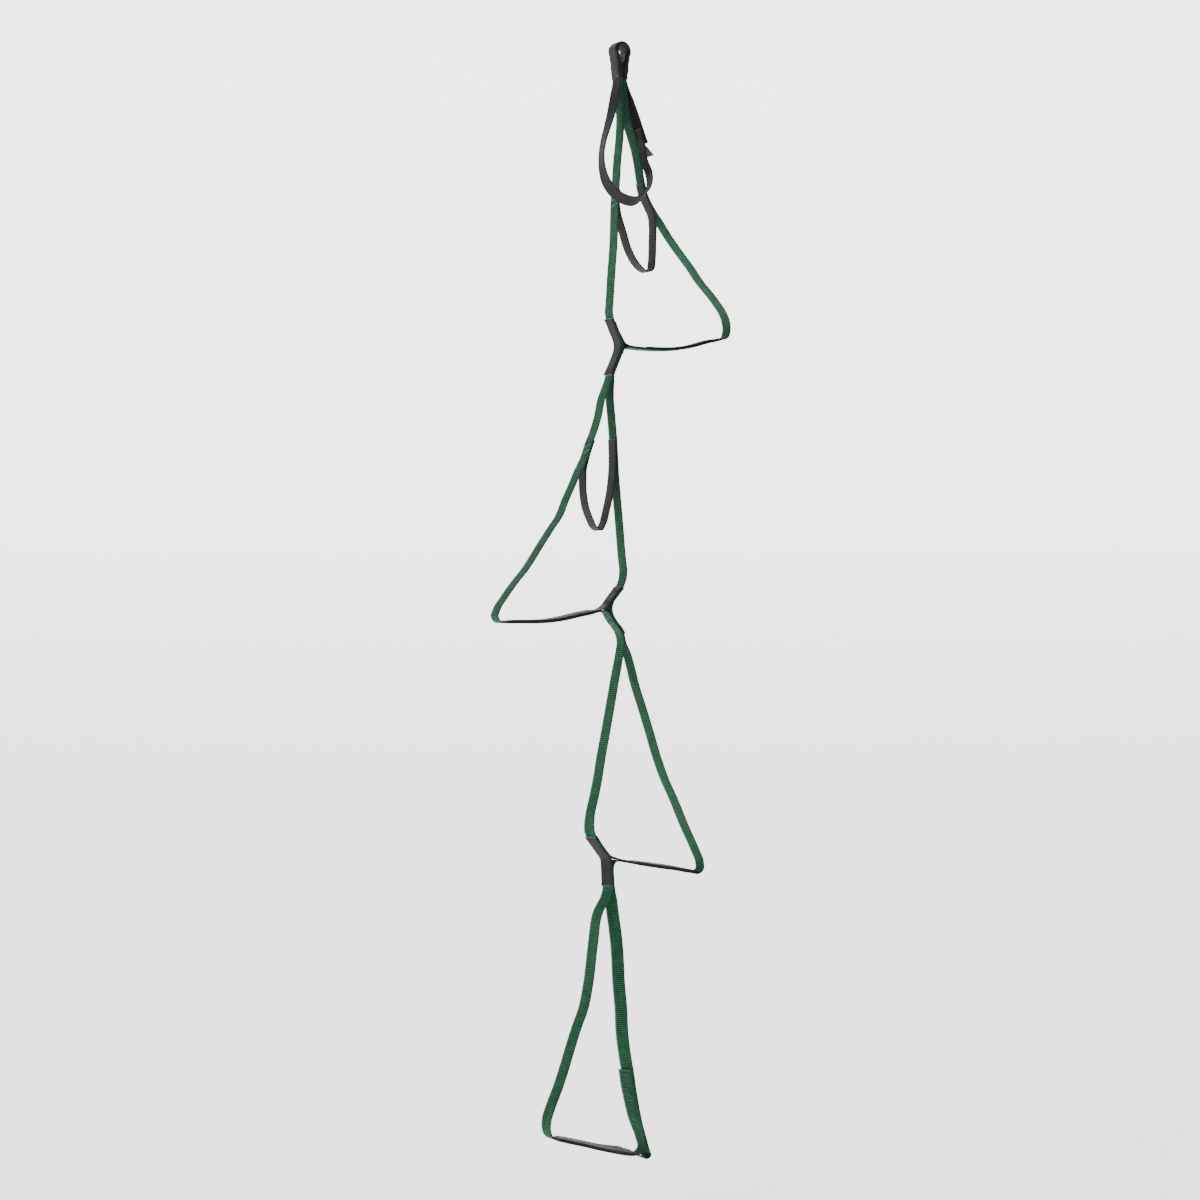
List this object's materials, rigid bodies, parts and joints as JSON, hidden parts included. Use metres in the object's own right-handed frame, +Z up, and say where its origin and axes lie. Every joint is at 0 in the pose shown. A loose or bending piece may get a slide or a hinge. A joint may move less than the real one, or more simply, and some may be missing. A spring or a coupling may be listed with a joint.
{
  "type": "webbing escape ladder",
  "caption": "Hanging ladder of flat webbing with triangular foot loops on alternate sides, a padded hanging eye, small sub-step loops and a grab strap.",
  "frame": {"origin": "centre of the hanging eye", "axes": "+Z up, +Y through the hanging eye and along the width of the webbing, X along the treads; the first tread points to +X"},
  "size_m": [0.3739, 0.0408, 1.47],
  "materials": {
    "green_webbing": "ribbed woven nylon, matt",
    "black_tape": "plain woven nylon tape, slight sheen",
    "eye_sleeve": "tubular woven sleeve, slight sheen",
    "stiffener": "plain extruded strip, hidden",
    "thread": "bonded sewing thread"
  },
  "bodies": {
    "head": {"eye_sleeve": "eye_sleeve", "eye_web": "green_webbing", "eye_strap": "black_tape", "neck_stitching": "thread"},
    "tier_1": {"left_web_1": "green_webbing", "right_web_1": "green_webbing", "tread_liner_1": "black_tape", "tread_stiffener_1": "stiffener", "junction_patch_1": "black_tape", "junction_stitching_1": "thread", "grab_root": "black_tape", "grab_tail": "black_tape", "grab_end_flap": "black_tape", "grab_stitching": "thread", "sub_step_tails_1": "black_tape", "sub_step_stitching_1": "thread"},
    "grab_loop": {"grab_loop": "black_tape"},
    "sub_step_1": {"sub_step_loop_1": "black_tape"},
    "neck_2": {"left_neck_2": "green_webbing", "right_neck_2": "green_webbing"},
    "tier_2": {"left_web_2": "green_webbing", "right_web_2": "green_webbing", "tread_liner_2": "black_tape", "tread_stiffener_2": "stiffener", "junction_patch_2": "black_tape", "junction_stitching_2": "thread", "sub_step_tails_2": "black_tape", "sub_step_stitching_2": "thread"},
    "sub_step_2": {"sub_step_loop_2": "black_tape"},
    "neck_3": {"left_neck_3": "green_webbing", "right_neck_3": "green_webbing"},
    "tier_3": {"left_web_3": "green_webbing", "right_web_3": "green_webbing", "tread_liner_3": "black_tape", "tread_stiffener_3": "stiffener", "junction_patch_3": "black_tape", "junction_stitching_3": "thread"},
    "neck_4": {"left_neck_4": "green_webbing", "right_neck_4": "green_webbing"},
    "tier_4": {"left_web_4": "green_webbing", "right_web_4": "green_webbing", "tread_liner_4": "black_tape", "tread_stiffener_4": "stiffener", "flap_stitching": "thread"}
  },
  "joints": [
    {"name": "tier_1_swing", "type": "hinge", "parent": "head", "child": "tier_1", "pos_m": [0, 0, -0.0392], "axis": [0, 1, 0], "range_deg": [-40, 40]},
    {"name": "grab_loop_lift", "type": "hinge", "parent": "tier_1", "child": "grab_loop", "pos_m": [-0.012, -0.003, -0.07], "axis": [-0.6626, 0, 0.749], "range_deg": [0, 60]},
    {"name": "sub_step_1_flap", "type": "hinge", "parent": "tier_1", "child": "sub_step_1", "pos_m": [0.025, 0, -0.211], "axis": [1, 0, 0], "range_deg": [-35, 35]},
    {"name": "tier_2_swing", "type": "hinge", "parent": "tier_1", "child": "neck_2", "pos_m": [-0.016, 0, -0.427], "axis": [0, 1, 0], "range_deg": [-45, 45]},
    {"name": "tier_2_twist", "type": "hinge", "parent": "neck_2", "child": "tier_2", "pos_m": [-0.0185, 0, -0.439], "axis": [0, 0, 1], "range_deg": [-90, 90], "stiffness_Nm_per_rad": 0.02},
    {"name": "sub_step_2_flap", "type": "hinge", "parent": "tier_2", "child": "sub_step_2", "pos_m": [-0.035, 0, -0.546], "axis": [1, 0, 0], "range_deg": [-35, 35]},
    {"name": "tier_3_swing", "type": "hinge", "parent": "tier_2", "child": "neck_3", "pos_m": [0.002, 0, -0.7715], "axis": [0, 1, 0], "range_deg": [-45, 45]},
    {"name": "tier_3_twist", "type": "hinge", "parent": "neck_3", "child": "tier_3", "pos_m": [0.0046, 0, -0.7835], "axis": [0, 0, 1], "range_deg": [-90, 90], "stiffness_Nm_per_rad": 0.02},
    {"name": "tier_4_swing", "type": "hinge", "parent": "tier_3", "child": "neck_4", "pos_m": [-0.0176, 0, -1.095], "axis": [0, 1, 0], "range_deg": [-45, 45]},
    {"name": "tier_4_twist", "type": "hinge", "parent": "neck_4", "child": "tier_4", "pos_m": [-0.0182, 0, -1.107], "axis": [0, 0, 1], "range_deg": [-90, 90], "stiffness_Nm_per_rad": 0.01}
  ]
}
